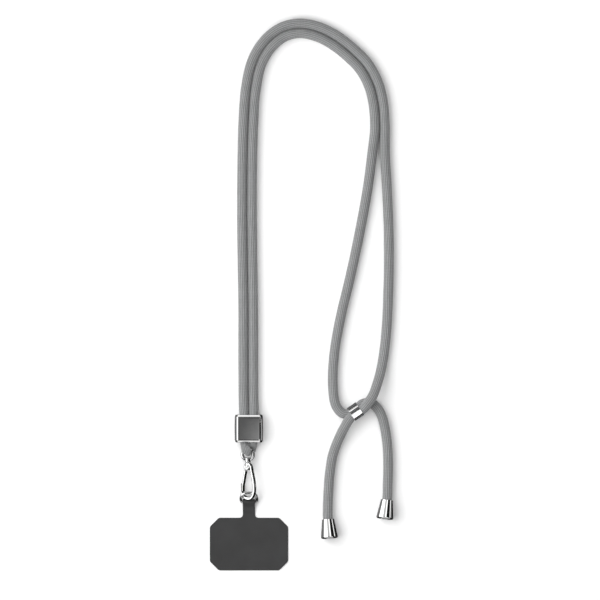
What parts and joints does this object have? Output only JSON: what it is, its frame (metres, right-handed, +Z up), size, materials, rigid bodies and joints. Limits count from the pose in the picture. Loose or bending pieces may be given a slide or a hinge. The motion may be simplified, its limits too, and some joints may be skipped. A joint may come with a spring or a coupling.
{
  "type": "phone crossbody strap",
  "caption": "Doubled round cord strap with a square clamp, a double-barrel slider, capped tails, a swivel snap hook and a thin tab for a phone case.",
  "frame": {"origin": "centre of the tab's flat back face, on the surface that the strap lies on", "axes": "+Y from the tab along the hook to the clamp and on to the top of the loop, +X to the right towards the slider, +Z up from the surface"},
  "size_m": [0.1418, 0.4257, 0.0154],
  "materials": {
    "cord": "fine ribbed knit",
    "chrome": "mirror polish",
    "tab": "smooth matt"
  },
  "bodies": {
    "strap": {"inner_strand": "cord", "outer_strand": "cord", "inner_tail": "cord", "outer_tail": "cord", "inner_cord_in_slider": "cord", "outer_cord_in_slider": "cord", "cord_fold": "cord", "clamp_block": "chrome", "slider": "chrome", "outer_tail_cap": "chrome", "inner_tail_cap": "chrome", "swivel_eye": "chrome"},
    "hook": {"hook_body": "chrome", "gate_rivet": "chrome", "d_ring": "chrome", "phone_tab": "tab"},
    "gate": {"gate": "chrome"}
  },
  "joints": [
    {"name": "hook_swivel", "type": "hinge", "parent": "strap", "child": "hook", "pos_m": [-0.0008, 0.065, 0.0055], "axis": [0, 1, 0], "continuous": true},
    {"name": "gate_hinge", "type": "hinge", "parent": "hook", "child": "gate", "pos_m": [-0.00103, 0.0599, 0.00531], "axis": [-0.6293, 0, 0.7771], "range_deg": [0, 9], "stiffness_Nm_per_rad": 0.02}
  ]
}
